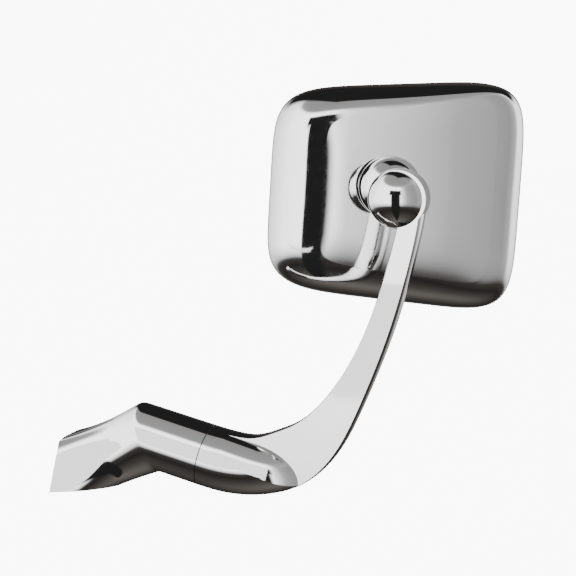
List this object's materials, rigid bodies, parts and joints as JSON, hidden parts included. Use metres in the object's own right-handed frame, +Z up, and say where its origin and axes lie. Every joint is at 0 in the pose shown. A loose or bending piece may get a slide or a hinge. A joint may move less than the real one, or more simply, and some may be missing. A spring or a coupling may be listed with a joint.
{
  "type": "car side mirror",
  "caption": "Chrome door mirror with a cast foot, a spring-loaded fold-away curved arm and a rounded rectangular head on a friction ball joint.",
  "frame": {"origin": "on the foot's mounting face, midway between the two mounting screw holes", "axes": "+X away from the car, -Y to the front of the car, +Z up; the mirror glass faces +Y"},
  "size_m": [0.2077, 0.1103, 0.1955],
  "materials": {
    "chrome_casting": "polished chrome plate on die-cast zinc",
    "chrome_sheet": "polished chrome plate on pressed steel",
    "zinc_steel": "zinc-plated steel",
    "hard_steel": "hardened steel, lightly oiled",
    "bronze": "sintered bronze",
    "rubber": "matt black rubber",
    "nylon": "natural nylon",
    "foam": "black foam tape",
    "carrier": "satin black paint",
    "mirror": "silvered float glass"
  },
  "bodies": {
    "base": {"base_foot": "chrome_casting", "foot_gasket": "rubber", "thread_inserts": "zinc_steel", "pivot_bush": "bronze", "thrust_washer": "bronze", "seam_washer": "nylon", "detent_balls": "hard_steel"},
    "arm": {"upper_arm": "chrome_casting", "ball_cap": "chrome_casting", "detent_ring": "hard_steel", "pivot_stud": "zinc_steel", "pivot_spring": "hard_steel", "spring_cup": "zinc_steel", "pivot_nut": "zinc_steel"},
    "saddle": {"swivel_saddle": "hard_steel"},
    "bolt": {"swivel_bolt": "zinc_steel", "swivel_spring": "hard_steel", "spring_washer": "zinc_steel", "tension_nut": "zinc_steel"},
    "head": {"swivel_cup": "chrome_casting", "head_shell": "chrome_sheet", "spring_plate": "zinc_steel", "cup_screws": "zinc_steel", "carrier_posts": "zinc_steel", "carrier_screws": "zinc_steel", "glass_carrier": "carrier", "foam_pad": "foam", "mirror_glass": "mirror", "glass_gasket": "rubber", "glass_bezel": "chrome_sheet"}
  },
  "joints": [
    {"name": "arm_fold", "type": "hinge", "parent": "base", "child": "arm", "pos_m": [0.072, 0, 0.007], "axis": [0.9744, 0, -0.225], "range_deg": [-75, 75]},
    {"name": "head_pan", "type": "hinge", "parent": "arm", "child": "saddle", "pos_m": [0.166, 0, 0.134], "axis": [0, 0, 1], "range_deg": [-15, 5]},
    {"name": "head_tilt", "type": "hinge", "parent": "saddle", "child": "bolt", "pos_m": [0.166, 0, 0.134], "axis": [0.866, 0.5, 0], "range_deg": [-9, 9]},
    {"name": "head_roll", "type": "hinge", "parent": "bolt", "child": "head", "pos_m": [0.166, 0, 0.134], "axis": [0.5, -0.866, 0], "range_deg": [-12, 12]}
  ]
}
